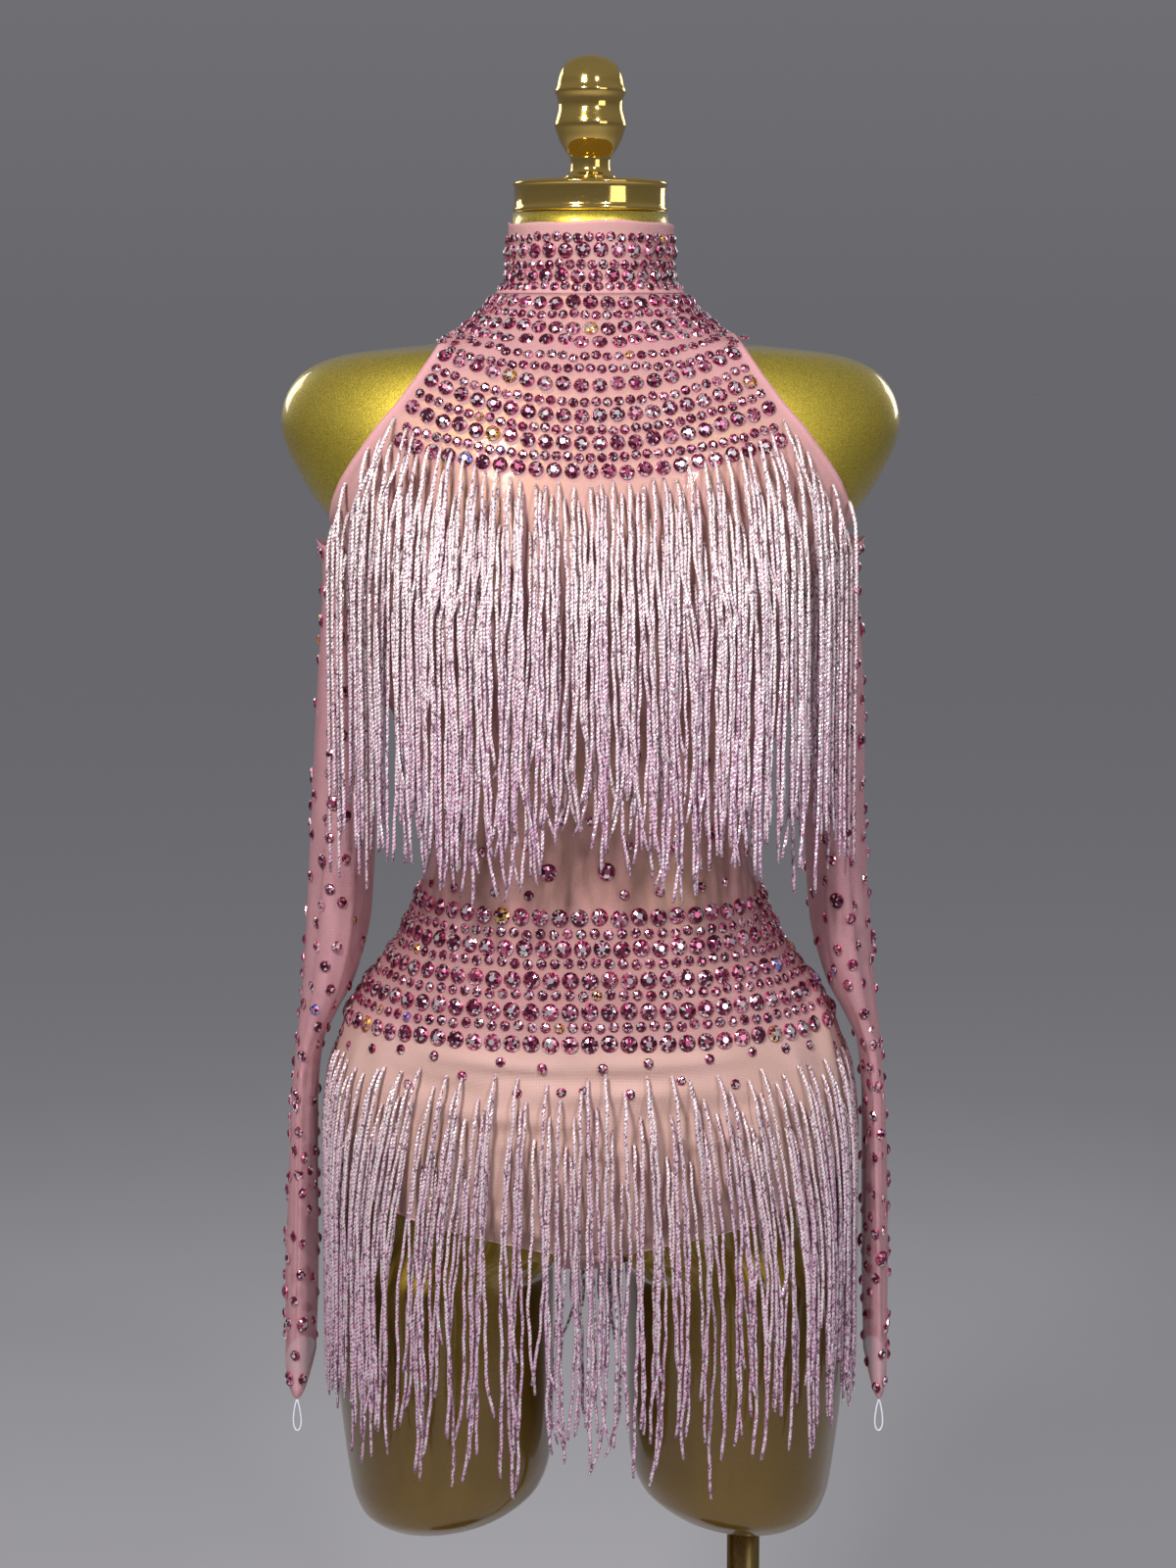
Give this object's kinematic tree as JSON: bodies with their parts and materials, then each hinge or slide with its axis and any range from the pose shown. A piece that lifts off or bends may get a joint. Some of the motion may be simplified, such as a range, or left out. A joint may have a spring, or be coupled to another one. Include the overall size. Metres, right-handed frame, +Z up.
{
  "type": "fringe dance leotard on a dress form",
  "caption": "High-neck leotard of sheer stretch mesh with hanging sleeves, stone rows and two tiers of cord fringe, worn by a limbless dress form on a pole with a round base.",
  "frame": {"origin": "centre of the round base's underside, on the floor", "axes": "+Z up along the form; the garment's front faces -Y; +X is to the right of someone who looks at the front"},
  "size_m": [0.405, 0.38, 1.5732],
  "materials": {
    "sheer_mesh": "pale pink sheer stretch mesh",
    "fringe_cord": "twisted lilac-silver metallic cord",
    "loop_cord": "clear pale elastic",
    "rhinestones": "faceted rose stones",
    "form_paint": "olive-gold pearl paint under clear coat",
    "polished_gold": "mirror gold plate",
    "dark_brass": "dark polished brass"
  },
  "bodies": {
    "root": {"collar": "sheer_mesh", "front_body": "sheer_mesh", "back_left": "sheer_mesh", "back_right": "sheer_mesh", "gusset": "sheer_mesh", "sleeve_left": "sheer_mesh", "sleeve_right": "sheer_mesh", "bust_fringe_top": "fringe_cord", "bust_fringe_middle": "fringe_cord", "bust_fringe_bottom": "fringe_cord", "hip_fringe_top": "fringe_cord", "hip_fringe_middle": "fringe_cord", "hip_fringe_bottom": "fringe_cord", "finger_loop_left": "loop_cord", "finger_loop_right": "loop_cord", "dress_form": "form_paint", "neck_cap": "polished_gold", "finial": "polished_gold", "pole": "dark_brass", "pole_socket": "dark_brass", "base": "dark_brass"}
  },
  "joints": []
}
